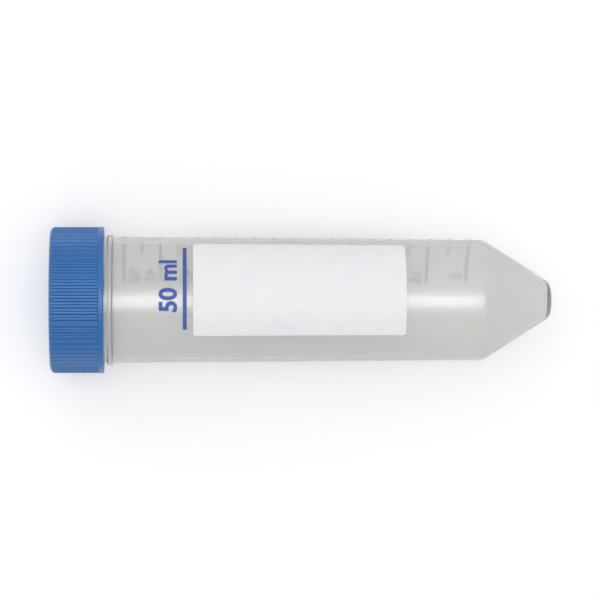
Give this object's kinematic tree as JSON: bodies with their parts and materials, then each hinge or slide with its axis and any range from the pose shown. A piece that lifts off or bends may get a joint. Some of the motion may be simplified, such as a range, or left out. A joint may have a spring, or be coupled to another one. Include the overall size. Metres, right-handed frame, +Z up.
{
  "type": "conical tube",
  "caption": "Clear cylindrical sample tube with a cone-shaped closed end, printed volume scale, write-on patch and ribbed screw cap, lying on its side.",
  "frame": {"origin": "middle of the base of the box round the whole tube, on the surface it lies on", "axes": "+X along the length from the cap to the tip, +Z up off the surface, +Y across; the write-on patch faces up"},
  "size_m": [0.1178, 0.0342, 0.0346],
  "materials": {
    "tube_plastic": "clear, faintly milky injection-moulded polypropylene, glossy",
    "cap_plastic": "blue injection-moulded plastic, satin",
    "scale_ink": "black printed ink",
    "patch_ink": "opaque white printed ink, matt so that it can be written on",
    "mark_ink": "blue printed ink"
  },
  "bodies": {
    "tube": {"tube_body": "tube_plastic"},
    "cap": {"screw_cap": "cap_plastic"}
  },
  "joints": [
    {"name": "cap_lift", "type": "slide", "parent": "tube", "child": "cap", "axis": [-0.9994, 0, 0.0345], "range_m": [0, 0.04]}
  ]
}
